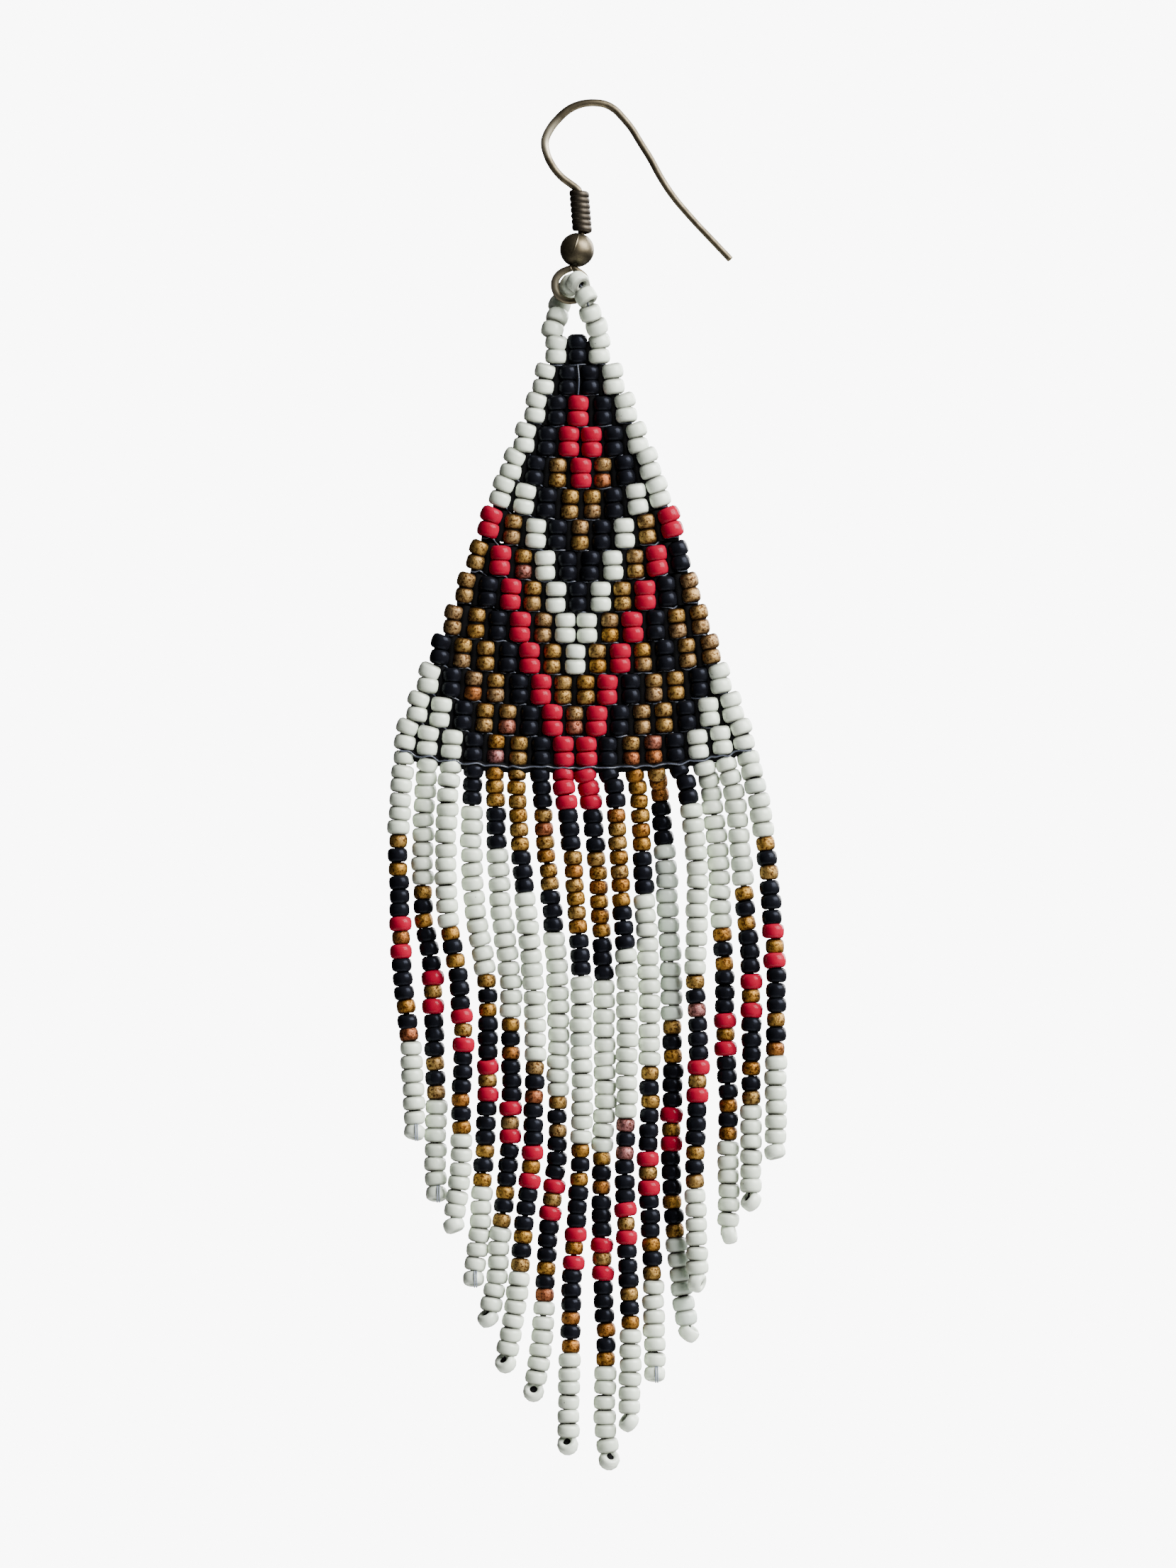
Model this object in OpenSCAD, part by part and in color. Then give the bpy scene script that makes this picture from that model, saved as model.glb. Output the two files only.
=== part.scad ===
/* [Ear wire] */
// Diameter of the ear wire
wire_d = 0.63; // [0.55:0.01:0.7]
// Diameter of the ring at the foot of the ear wire, to the middle of its wire
ring_d = 3.1; // [3:0.05:3.4]
// Diameter of the thin wire wound round the stem
coil_wire_d = 0.46; // [0.35:0.01:0.48]
// Turns of the coil
coil_turns = 7; // [5:1:7]
// Diameter of the ball under the coil
ball_d = 3.3; // [3:0.1:3.4]

/* [Seed beads] */
// Width of a seed bead
bead_w = 2.1; // [2:0.02:2.14]
// Length of a seed bead along its thread
bead_length = 1.34; // [1.2:0.02:1.4]

/* [Woven panel] */
// Distance between the stacks of one row
column_pitch = 2.165; // [2.15:0.005:2.18]
// Distance between the rows, each a stack of two beads high
row_pitch = 2.99; // [2.95:0.01:3]
// Rows from the top of the panel to the fringe
row_count = 14; // [14:1:14]

/* [Hidden] */

bronze = [0.37, 0.31, 0.22];
ivory = [0.88, 0.88, 0.84];
black = [0.06, 0.06, 0.09];
red = [0.75, 0.08, 0.16];
gold = [0.72, 0.53, 0.25];
bead_gap = 0.18;
bead_r = bead_w / 2 - 0.05;

// Sides of the wire, of the thin wire of the coil, of the loop and of a string
wire_sides = 12;
coil_sides = 8;
loop_sides = 10;
string_sides = 8;
// Points that each curve has from one point of its route to the next
route_steps = 2;

// Middle of the wire from the free tip over the arch to the coil, as [x, z].
// The inside top of the arch is the origin.
arch_route = [
    [13.5, -14.8], [11.8, -13.0], [10.1, -11.2], [8.2, -9.0], [6.9, -7.1], [5.8, -5.1], [4.8, -3.5],
    [4.0, -2.2], [3.1, -1.1], [2.3, -0.3], [1.3, 0.2], [0, 0.32], [-1.2, 0.1], [-2.2, -0.4],
    [-3.1, -1.2], [-3.9, -2.2], [-4.4, -3.4], [-4.2, -4.7], [-3.6, -5.9], [-2.8, -6.8],
    [-1.9, -7.35], [-1.25, -7.75]
];
coil_top = [-1.1, -8.3];
coil_foot = [-0.8, -12.1];
ball_centre = [-1.3, -13.9];
ring_centre = [-1.9, -17.3];
ring_top = [-1.73, -15.45];
ring_from = 38;
ring_to = -247;
ring_steps = 14;
coil_play = 0.12;
coil_steps = 16;
bore_d = 1.0;
// Length over which the wire bends above and below the foot of the coil
stem_bend = 0.6;
// How far below the middle of the ball the stem starts to bend to the ring
stem_below = ball_d / 5;

// Middle of the string of beads from the left top stack through the ring to the right one, as [x, y, z]
loop_route = [
    [-3.5, 0, -21.9], [-3.5, 0, -21.2], [-3.4, 0.6, -20.4], [-3.0, 1.45, -19.4], [-2.6, 1.65, -18.3],
    [-2.2, 1.0, -17.45], [-1.9, 0, -17.25], [-1.6, -1.0, -17.15], [-1.0, -1.65, -17.35],
    [-0.5, -1.55, -18.3], [-0.15, -1.1, -19.5], [0.4, -0.4, -20.6], [0.8, 0, -21.2], [0.8, 0, -21.9]
];

// How far each row's ends lie above its middle, from the top row down
row_lift = [0, 0.1, 0.3, 0.4, 0.9, 1.2, 1.2, 1.0, 0.9, 0.8, 0.9, 1.1, 1.3, 1.6];
lift_power = 2.8;
first_row_z = -23.5;
// The middles of the rows bow from side to side as they go down: most to the right at bow_row, and back
// there after bow_length rows
panel_x = -1.25;
panel_bow = 0.3;
bow_row = 5;
bow_length = 16;
core_t = 1.3;
core_inset = 0.12;
stack_h = 2 * bead_length + 0.05;

// Colour of each stack, row by row from the left: W ivory, B black, R red, G gold
chart = [
    "WBW", "WBBW", "WBRBW", "WBRRBW", "WBGRGBW", "WWBGGBWW", "RGWBGBWGR", "GRGWBBWGRB", "GBRGWBWGRBG",
    "GGBRGWWGRBGG", "BGGBRGWGRGBGG", "WBGGBRGGRBGGBW", "WWBGGBRGRBGGBWW", "WWWBGGBRRBGGBWWW"
];

// How far to the right of its stack each string starts
strand_shift = [
    -0.25, -0.2, -0.1, 0, -0.15, -0.2, -0.1, -0.05, -0.1, 0.05, 0.35, 0.3, 0.35, 0.6, 0.55, 0.55
];

// Each string's x where it passes the heights in strand_heights, and last the middle of its end bead
// as [x, z]
strand_heights = [-66, -72, -78, -84, -90, -96, -102, -108, -114, -120, -126];
strands = [
    [[-18.3, -18.6, -18.4, -18.2, -17.5, -17.0], [-17.0, -99.1]],
    [[-16.0, -16.2, -16.1, -15.3, -15.1, -14.9, -15.0], [-14.9, -105.1]],
    [[-13.7, -14.0, -13.8, -12.8, -12.3, -12.5, -12.5], [-13.2, -108.1]],
    [[-11.4, -11.5, -11.1, -10.1, -9.9, -10.0, -10.3, -10.7], [-11.3, -113.3]],
    [[-9.25, -9.0, -8.6, -7.8, -7.7, -7.7, -7.9, -8.6, -9.2], [-9.9, -117.1]],
    [[-7.1, -6.75, -6.2, -5.6, -5.3, -5.5, -5.7, -6.4, -7.0], [-8.2, -121.4]],
    [[-4.7, -4.3, -3.7, -3.2, -3.1, -3.2, -3.3, -4.0, -4.4, -4.8], [-5.5, -124.2]],
    [[-2.5, -1.8, -1.3, -0.9, -0.9, -0.8, -1.0, -1.4, -1.8, -2.0, -2.1], [-2.2, -129.3]],
    [[-0.1, 0.5, 0.9, 1.3, 1.3, 1.4, 1.1, 1.1, 1.2, 1.5, 1.4], [1.8, -130.8]],
    [[2.3, 2.7, 3.1, 3.5, 3.5, 3.5, 3.3, 3.4, 3.7, 3.9], [3.7, -127.1]],
    [[4.6, 5.0, 5.3, 5.7, 5.7, 5.7, 5.6, 5.8, 6.0, 6.2], [6.2, -122.5]],
    [[6.65, 7.2, 7.5, 7.8, 7.9, 7.9, 7.8, 8.1, 8.8], [9.5, -118.6]],
    [[9.4, 10.2, 10.3, 10.1, 10.4, 10.3, 10.1, 10.2], [10.3, -113.6]],
    [[11.65, 12.3, 12.6, 13.0, 13.0, 13.3, 13.3], [13.4, -109.0]],
    [[13.8, 14.5, 15.0, 15.5, 15.5, 15.5, 15.5], [15.5, -105.8]],
    [[16.0, 17.0, 17.5, 17.9, 17.9, 17.9], [17.8, -101.0]]
];
// How far each string hangs behind the panel's plane, or before it where negative
strand_depth = [-0.2, 0.6, -0.4, 0.3, 0.1, -0.3, 0.2, -0.3, 0.3, -0.3, 0.3, 1.5, -0.3, 0.7, 0, -0.4];
// How far a string reaches past the middle of its end bead
end_reach = 0.8;

function unit(v) = v / norm(v);

// A point of the smooth curve through b and c, between its neighbours a and d
function on_curve(a, b, c, d, t) =
    b + (c - a) * t / 2 + (2 * a - 5 * b + 4 * c - d) * t * t / 2 + (3 * b - a - 3 * c + d) * t * t * t / 2;

function smooth(p, steps) = [
    for (k = [0 : len(p) - 2], s = [0 : steps - 1])
        on_curve(p[max(k - 1, 0)], p[k], p[k + 1], p[min(k + 2, len(p) - 1)], s / steps),
    p[len(p) - 1]
];

function heading(p, k) = unit(p[min(k + 1, len(p) - 1)] - p[max(k - 1, 0)]);

// Rings of points round the path p, with radius r[k] at its point k. The path never runs along the
// vector side.
function rings(p, r, side, sides) = [
    for (k = [0 : len(p) - 1])
        let (t = heading(p, k), u = unit(cross(side, t)), v = cross(t, u))
        for (j = [0 : sides - 1])
            p[k] + r[k] * (cos(360 * (j + 0.5) / sides) * u + sin(360 * (j + 0.5) / sides) * v)
];

module tube(p, r, side, sides) {
    last = (len(p) - 1) * sides;
    walls = [
        for (k = [0 : len(p) - 2], j = [0 : sides - 1])
            let (a = k * sides + j, b = k * sides + (j + 1) % sides)
            each [[a, a + sides, b], [b, a + sides, b + sides]]
    ];
    head = [for (j = [0 : sides - 1]) j];
    foot = [for (j = [sides - 1 : -1 : 0]) last + j];
    polyhedron(points = rings(p, r, side, sides), faces = concat([head], walls, [foot]), convexity = 8);
}

function same(p, r) = [for (k = [0 : len(p) - 1]) r];

function in_plane(p) = [p[0], 0, p[1]];

function stem_route() =
    let (
        down = unit(coil_foot - coil_top),
        lean = unit(ball_centre - coil_foot)
    )
    [
        coil_top, (2 * coil_top + coil_foot) / 3, (coil_top + 2 * coil_foot) / 3,
        coil_foot - stem_bend * down, coil_foot + stem_bend * lean,
        ball_centre, ball_centre + stem_below * lean, ring_top
    ];

function ring_route() = [
    for (k = [0 : ring_steps])
        let (turn = ring_from + (ring_to - ring_from) * k / ring_steps)
        ring_centre + ring_d / 2 * [cos(turn), sin(turn)]
];

module ear_hook() {
    route = smooth([for (p = concat(arch_route, stem_route(), ring_route())) in_plane(p)], route_steps);
    color(bronze) tube(route, same(route, wire_d / 2), [0, 1, 0], wire_sides);
}

module coil() {
    axis = in_plane(unit(coil_foot - coil_top));
    across = [-axis[2], 0, axis[0]];
    helix_r = wire_d / 2 + coil_play + coil_wire_d / 2;
    steps = coil_turns * coil_steps;
    height = norm(coil_foot - coil_top);
    route = [
        for (k = [0 : steps])
            in_plane(coil_top) + axis * height * k / steps
            + helix_r * (cos(360 * k / coil_steps) * across + sin(360 * k / coil_steps) * [0, 1, 0])
    ];
    color(bronze) tube(route, same(route, coil_wire_d / 2), axis, coil_sides);
}

module ball() {
    lean = unit(ball_centre - coil_foot);
    color(bronze)
        translate(in_plane(ball_centre))
        rotate([0, atan2(lean[0], lean[1]), 0])
        difference() {
            sphere(d = ball_d, $fn = 64);
            cylinder(d = bore_d, h = ball_d + 1, center = true, $fn = 48);
        }
}

module bead_loop() {
    route = smooth(loop_route, route_steps);
    color(ivory) tube(route, same(route, bead_r), [1, 0, 0], loop_sides);
}

function row_x(n) = panel_x + panel_bow * cos(360 * (n - bow_row) / bow_length);
function row_end(n) = (n + 1) / 2 * column_pitch;
function stack_x(n, i) = row_x(n) + i * column_pitch - row_end(n);
function stack_z(n, i) =
    first_row_z - (n - 1) * row_pitch
    + row_lift[n - 1] * pow(abs(stack_x(n, i) - row_x(n)) / row_end(n), lift_power);

function bead_colour(letter) = letter == "W" ? ivory : letter == "B" ? black : letter == "R" ? red : gold;

module woven_panel() {
    half = stack_h / 2 - core_inset;
    right = [for (n = [1 : row_count], s = [1, -1]) [stack_x(n, n + 1), stack_z(n, n + 1) + s * half]];
    left = [for (n = [row_count : -1 : 1], s = [-1, 1]) [stack_x(n, 0), stack_z(n, 0) + s * half]];
    bottom = [for (i = [row_count : -1 : 1]) [stack_x(row_count, i), stack_z(row_count, i) - half]];
    color(black)
        rotate([90, 0, 0])
        linear_extrude(core_t, center = true)
        polygon(concat(right, bottom, left));
    for (n = [1 : row_count], i = [0 : n + 1])
        color(bead_colour(chart[n - 1][i]))
            translate([stack_x(n, i), 0, stack_z(n, i)])
            cylinder(r = bead_r, h = stack_h, center = true, $fn = 32);
}

function strand_route(s) =
    let (
        row = strands[s - 1],
        x = stack_x(row_count, s - 1) + strand_shift[s - 1],
        top = [x, 0, stack_z(row_count, s - 1) - stack_h / 2 - bead_gap],
        y = strand_depth[s - 1],
        hang = [for (k = [0 : len(row[0]) - 1]) [row[0][k], y, strand_heights[k]]],
        end = [row[1][0], y, row[1][1]]
    )
    concat(
        [top, top - [0, 0, bead_length / 2]], hang,
        [end, end + end_reach * unit(end - hang[len(hang) - 1])]
    );

module fringe(s) {
    route = strand_route(s);
    color(ivory) tube(route, same(route, bead_r), [1, 0, 0], string_sides);
}

module fringe_01() { fringe(1); }
module fringe_02() { fringe(2); }
module fringe_03() { fringe(3); }
module fringe_04() { fringe(4); }
module fringe_05() { fringe(5); }
module fringe_06() { fringe(6); }
module fringe_07() { fringe(7); }
module fringe_08() { fringe(8); }
module fringe_09() { fringe(9); }
module fringe_10() { fringe(10); }
module fringe_11() { fringe(11); }
module fringe_12() { fringe(12); }
module fringe_13() { fringe(13); }
module fringe_14() { fringe(14); }
module fringe_15() { fringe(15); }
module fringe_16() { fringe(16); }

ear_hook();
coil();
ball();
bead_loop();
woven_panel();
fringe_01();
fringe_02();
fringe_03();
fringe_04();
fringe_05();
fringe_06();
fringe_07();
fringe_08();
fringe_09();
fringe_10();
fringe_11();
fringe_12();
fringe_13();
fringe_14();
fringe_15();
fringe_16();
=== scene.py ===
import math

import bmesh
import bpy
import numpy as np
from mathutils import Matrix, Vector


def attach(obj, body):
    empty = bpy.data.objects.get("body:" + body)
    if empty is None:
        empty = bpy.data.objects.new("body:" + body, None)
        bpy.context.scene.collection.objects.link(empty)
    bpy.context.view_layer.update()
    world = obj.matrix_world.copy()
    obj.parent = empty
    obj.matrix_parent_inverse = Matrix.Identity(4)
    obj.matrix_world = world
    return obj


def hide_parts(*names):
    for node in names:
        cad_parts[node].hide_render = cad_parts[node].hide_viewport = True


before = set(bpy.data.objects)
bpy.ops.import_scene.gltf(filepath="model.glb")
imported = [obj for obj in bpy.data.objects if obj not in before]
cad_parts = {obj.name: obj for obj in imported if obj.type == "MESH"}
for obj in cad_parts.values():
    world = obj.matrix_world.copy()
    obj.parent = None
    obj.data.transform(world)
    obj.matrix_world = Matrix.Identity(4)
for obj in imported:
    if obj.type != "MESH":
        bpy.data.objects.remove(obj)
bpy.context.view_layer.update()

# Ear wire: one length of 22 gauge brass wire, bent round a former into the arch, run down through the
# coil and the ball, and curled into the eye that the beads hang on. The bend at the left of the arch
# and the eye's left side are pressed a little flat. The eye closes in front of the stem, under the ball.
MM = 0.001
wire_d = 0.63
wire_sides = 16
wire_steps = 6

# Middle of the wire from the free tip over the arch to the coil, in mm, as x, z, width in the plane and
# depth, before the plating, which is thickest on this bare part
plated = 1.13
arch_route = [
    (13.5, -14.8, 0.56, 0.56), (11.8, -13.0, 0.56, 0.56), (10.1, -11.2, 0.56, 0.56), (8.2, -9.0, 0.58, 0.56),
    (6.9, -7.1, 0.60, 0.56), (5.8, -5.1, 0.60, 0.58), (4.8, -3.5, 0.60, 0.60), (4.0, -2.2, 0.60, 0.60),
    (3.1, -1.1, 0.62, 0.60), (2.3, -0.3, 0.63, 0.60), (1.3, 0.2, 0.63, 0.60), (0.0, 0.32, 0.63, 0.60),
    (-1.2, 0.1, 0.66, 0.56), (-2.2, -0.4, 0.70, 0.54), (-3.1, -1.2, 0.72, 0.52), (-3.9, -2.2, 0.72, 0.52),
    (-4.4, -3.4, 0.70, 0.54), (-4.2, -4.7, 0.66, 0.56), (-3.6, -5.9, 0.64, 0.60), (-2.8, -6.85, 0.63, 0.63),
    (-1.95, -7.5, 0.63, 0.63), (-1.35, -7.95, 0.63, 0.63),
]
coil_top = np.array([-1.1, -8.3])
coil_foot = np.array([-0.8, -12.1])
ball_centre = np.array([-1.3, -13.9])
ball_d = 3.3
ring_centre = np.array([-1.9, -17.3])
ring_r = 1.55
ring_top = np.array([-1.73, -15.45])
stem_bend = 0.6
stem_below = ball_d / 5


def unit(v):
    return v / np.linalg.norm(v)


def smooth(points, steps):
    """Returns a smooth curve through the points, with this many steps from one point to the next."""
    p = np.asarray(points, float)
    p = np.vstack([p[:1], p, p[-1:]])
    t = np.linspace(0, 1, steps, endpoint=False)[:, None]
    spans = [
        b + (c - a) * t / 2 + (2 * a - 5 * b + 4 * c - d) * t**2 / 2 + (3 * b - a - 3 * c + d) * t**3 / 2
        for a, b, c, d in zip(p, p[1:], p[2:], p[3:])
    ]
    return np.vstack(spans + [p[-1:]])


def mesh_object(name, work, smooth_faces=True):
    """Makes a finished bmesh an object with its normals outward."""
    bmesh.ops.recalc_face_normals(work, faces=work.faces)
    mesh = bpy.data.meshes.new(name)
    work.to_mesh(mesh)
    work.free()
    for face in mesh.polygons:
        face.use_smooth = smooth_faces
    piece = bpy.data.objects.new(name, mesh)
    bpy.context.collection.objects.link(piece)
    return piece


def loft(work, sections):
    """Joins rings of equal length into a closed skin with a face over each end."""
    rings = [[work.verts.new(point) for point in ring] for ring in sections]
    for ring, after in zip(rings, rings[1:]):
        for k in range(len(ring)):
            n = (k + 1) % len(ring)
            work.faces.new((ring[k], ring[n], after[n], after[k]))
    work.faces.new(rings[0])
    work.faces.new(list(reversed(rings[-1])))


down = unit(coil_foot - coil_top)
lean = unit(ball_centre - coil_foot)
stem = [
    coil_top, (2 * coil_top + coil_foot) / 3, (coil_top + 2 * coil_foot) / 3,
    coil_foot - stem_bend * down, coil_foot + stem_bend * lean,
    ball_centre, ball_centre + stem_below * lean, ring_top,
]
wire_route = [(x, 0, z, plated * width, plated * depth) for x, z, width, depth in arch_route]
wire_route += [(x, 0, z, wire_d, wire_d) for x, z in stem]

# The eye turns round its middle and comes forward, wider and thinner where it is pressed flat, and ends
# in front of the stem in three points of x, y, z, width and depth
eye_start = math.radians(38)
eye_turn = math.radians(-238)
eye_points = 12
eye_forward = 0.25
eye_widened = 0.14
eye_thinned = 0.08
eye_end = [
    (-3.02, -0.32, -16.27, 0.74, 0.55), (-2.5, -0.4, -15.92, 0.68, 0.55), (-1.85, -0.48, -15.68, 0.62, 0.55),
]
for k in range(eye_points):
    share = k / (eye_points - 1)
    turn = eye_start + eye_turn * share
    flat = max(0, -math.cos(turn))
    x, z = ring_centre + ring_r * np.array([math.cos(turn), math.sin(turn)])
    forward = -eye_forward * share**2
    wire_route.append((x, forward, z, wire_d + eye_widened * flat, wire_d - eye_thinned * flat))
wire = smooth(wire_route + eye_end, wire_steps)
along = np.gradient(wire[:, :3], axis=0)
along /= np.linalg.norm(along, axis=1)[:, None]

# Both ends are rounded in steps of distance along the wire and share of its width
end_round = [(-0.06, 0.55), (-0.04, 0.85), (0, 1)]
sections = []
for k, (point, way) in enumerate(zip(wire, along)):
    x, y, z, width, depth = point
    out = unit(np.array([-way[2], 0, way[0]]))
    deep = np.cross(way, out)
    steps = [(0, 1)]
    if k == 0:
        steps = end_round
    elif k == len(wire) - 1:
        steps = [(-shift, share) for shift, share in reversed(end_round)]
    for shift, share in steps:
        middle = point[:3] + way * shift
        sections.append([
            Vector(middle + share * (math.cos(a) * width / 2 * out + math.sin(a) * depth / 2 * deep)) * MM
            for a in np.linspace(0, 2 * math.pi, wire_sides, endpoint=False)
        ])
work = bmesh.new()
loft(work, sections)
ear_wire = mesh_object("ear_wire", work)


def srgb(code):
    """Turns a hex colour such as "c8b89a" into the linear colour that a shader takes."""
    parts = [int(code[k:k + 2], 16) / 255 for k in (0, 2, 4)]
    return tuple(c / 12.92 if c <= 0.04045 else ((c + 0.055) / 1.055) ** 2.4 for c in parts) + (1.0,)


def add(tree, kind, inputs=(), **settings):
    """Adds a node with its settings. inputs holds values, or sockets to link from, by name or number."""
    made = tree.nodes.new(kind)
    for name, value in settings.items():
        setattr(made, name, value)
    for name, value in dict(inputs).items():
        if isinstance(value, bpy.types.NodeSocket):
            tree.links.new(value, made.inputs[name])
        else:
            made.inputs[name].default_value = value
    return made


def ramp(tree, source, stops):
    """Adds a colour ramp fed by source, from stops of position and hex colour."""
    made = add(tree, "ShaderNodeValToRGB", {0: source})
    bar = made.color_ramp.elements
    while len(bar) < len(stops):
        bar.new(0.5)
    # All the places first, because Blender sorts the marks by them
    for mark, (place, code) in zip(bar, stops):
        mark.position = place
    for mark, (place, code) in zip(bar, stops):
        mark.color = srgb(code)
    return made.outputs["Color"]


def start_material(name, metallic, roughness):
    """Starts a material on the standard shader and returns it with its tree and shader."""
    made = bpy.data.materials.new(name)
    made.use_nodes = True
    shader = made.node_tree.nodes["Principled BSDF"]
    shader.inputs["Metallic"].default_value = metallic
    shader.inputs["Roughness"].default_value = roughness
    return made, made.node_tree, shader


# Antiqued bronze plating on brass: a metal under a thin brown film. The film is uneven over about a
# millimetre and finely scratched, so the sheen is soft, with warm grey highlights. Its colour is painted
# lighter where the wire was pressed flat, most at the left of the arch and less at the left of the eye:
# rubbed wear, and a painted highlight where the flat faces catch the light.
worn_and_lit_spots = [((-4.3, 0.0, -2.9), 0.75), ((-3.4, 0.0, -17.2), 0.35)]
bronze, tree, shader = start_material("antiqued_bronze_plate", 1.0, 0.36)
spot = add(tree, "ShaderNodeTexCoord").outputs["Object"]
film = add(tree, "ShaderNodeTexNoise", {
    "Vector": spot, "Scale": 1 / (0.9 * MM), "Detail": 4.0, "Roughness": 0.55,
})
colour = ramp(tree, film.outputs["Fac"], [(0.3, "4e4739"), (0.55, "675e4c"), (0.75, "7e735c")])
# Lighter spots: rubbed wear and a painted highlight on the flattened bends
for place, strength in worn_and_lit_spots:
    away = add(tree, "ShaderNodeVectorMath", {0: spot, 1: Vector(place) * MM}, operation="DISTANCE")
    worn_lit_mask = add(tree, "ShaderNodeMapRange", {
        "Value": away.outputs["Value"],
        "From Min": 0.8 * MM, "From Max": 2.4 * MM, "To Min": strength, "To Max": 0.0,
    })
    colour = add(tree, "ShaderNodeMix", {
        0: worn_lit_mask.outputs["Result"], 6: colour, 7: srgb("d6ccb2"),
    }, data_type="RGBA").outputs[2]
tree.links.new(colour, shader.inputs["Base Color"])
shine = add(tree, "ShaderNodeMapRange", {
    "Value": film.outputs["Fac"], "To Min": 0.55, "To Max": 0.43,
}, name="shine")
tree.links.new(shine.outputs["Result"], shader.inputs["Roughness"])
scratch = add(tree, "ShaderNodeTexNoise", {"Vector": spot, "Scale": 1 / (0.08 * MM), "Detail": 2.0})
dent = add(tree, "ShaderNodeBump", {
    "Height": scratch.outputs["Fac"], "Strength": 0.15, "Distance": 0.01 * MM,
})
tree.links.new(dent.outputs["Normal"], shader.inputs["Normal"])
ear_wire.data.materials.append(bronze)
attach(ear_wire, "hook")
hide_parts("ear_hook")

# Coil: thin wire of the same bronze finish, wound tight in seven turns round the stem and pressed a
# little flat. It is only a trim, and rests on the ball below.
coil_turns = 7
coil_start = math.radians(110)
coil_wire_high = 0.7
coil_wire_deep = 0.5
coil_r = 0.72

winding = bpy.data.node_groups.new("winding", "GeometryNodeTree")
for name, kind in (
    ("Turns", "NodeSocketFloat"), ("Radius", "NodeSocketFloat"), ("Height", "NodeSocketFloat"),
    ("Wire Height", "NodeSocketFloat"), ("Wire Depth", "NodeSocketFloat"), ("Spin", "NodeSocketVector"),
    ("Foot", "NodeSocketVector"), ("Tilt", "NodeSocketVector"), ("Finish", "NodeSocketMaterial"),
):
    winding.interface.new_socket(name, in_out="INPUT", socket_type=kind)
winding.interface.new_socket("Geometry", in_out="OUTPUT", socket_type="NodeSocketGeometry")
given = add(winding, "NodeGroupInput").outputs
spiral = add(winding, "GeometryNodeCurveSpiral", {
    "Resolution": 28, "Rotations": given["Turns"], "Start Radius": given["Radius"],
    "End Radius": given["Radius"], "Height": given["Height"],
})
upright = add(winding, "GeometryNodeSetCurveNormal", {"Curve": spiral.outputs["Curve"]}, mode="Z_UP")
section = add(winding, "GeometryNodeCurvePrimitiveCircle", {"Resolution": 14, "Radius": 0.5})
wire_size = add(winding, "ShaderNodeCombineXYZ", {
    "X": given["Wire Depth"], "Y": given["Wire Height"], "Z": 1.0,
})
pressed = add(winding, "GeometryNodeTransform", {
    "Geometry": section.outputs["Curve"], "Scale": wire_size.outputs[0],
})
skin = add(winding, "GeometryNodeCurveToMesh", {
    "Curve": upright.outputs["Curve"], "Profile Curve": pressed.outputs["Geometry"], "Fill Caps": True,
})
turned = add(winding, "GeometryNodeTransform", {
    "Geometry": skin.outputs["Mesh"], "Rotation": given["Spin"],
})
placed = add(winding, "GeometryNodeTransform", {
    "Geometry": turned.outputs["Geometry"], "Translation": given["Foot"], "Rotation": given["Tilt"],
})
real = add(winding, "GeometryNodeRealizeInstances", {"Geometry": placed.outputs["Geometry"]})
rounded = add(winding, "GeometryNodeSetShadeSmooth", {"Geometry": real.outputs["Geometry"]})
dressed = add(winding, "GeometryNodeSetMaterial", {
    "Geometry": rounded.outputs["Geometry"], "Material": given["Finish"],
})
add(winding, "NodeGroupOutput", {0: dressed.outputs["Geometry"]})


def grow(name, mesh, tree, values):
    """Runs a tree on a mesh, with its named inputs set, and returns the result as a plain object."""
    piece = bpy.data.objects.new(name, mesh)
    bpy.context.collection.objects.link(piece)
    modifier = piece.modifiers.new("tree", "NODES")
    modifier.node_group = tree
    for socket in tree.interface.items_tree:
        if socket.in_out == "INPUT" and socket.name in values:
            modifier[socket.identifier] = values[socket.name]
    graph = bpy.context.evaluated_depsgraph_get()
    grown = bpy.data.meshes.new_from_object(
        piece.evaluated_get(graph), preserve_all_data_layers=True, depsgraph=graph,
    )
    piece.modifiers.clear()
    piece.data = grown
    return piece


# The same plate, darker and duller on the thin wire of the coil, which the lighter spots don't reach
dark_bronze = bronze.copy()
dark_bronze.name = "dark_antiqued_bronze_plate"
film_ramp = next(n for n in dark_bronze.node_tree.nodes if n.type == "VALTORGB")
for mark, code in zip(film_ramp.color_ramp.elements, ("35302a", "443e36", "544d43")):
    mark.color = srgb(code)
dark_bronze.node_tree.nodes["shine"].inputs["To Min"].default_value = 0.56
dark_bronze.node_tree.nodes["shine"].inputs["To Max"].default_value = 0.48
tilt = math.atan2(*(coil_top - coil_foot))
coil = grow("coil_of_wire", bpy.data.meshes.new("coil_of_wire"), winding, {
    "Turns": float(coil_turns),
    "Radius": coil_r * MM,
    "Height": float(np.linalg.norm(coil_top - coil_foot)) * MM,
    "Wire Height": coil_wire_high * MM,
    "Wire Depth": coil_wire_deep * MM,
    "Spin": (0.0, 0.0, coil_start),
    "Foot": (coil_foot[0] * MM, 0.0, coil_foot[1] * MM),
    "Tilt": (0.0, tilt, 0.0),
    "Finish": dark_bronze,
})
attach(coil, "hook")
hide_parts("coil")

# Ball: a hollow brass bead of two pressed halves, soldered along a seam that runs down its face, with
# the same bronze finish. The stem passes through its bore.
bore_r = 0.5
ball_rings = 28
ball_sides = 48

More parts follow.
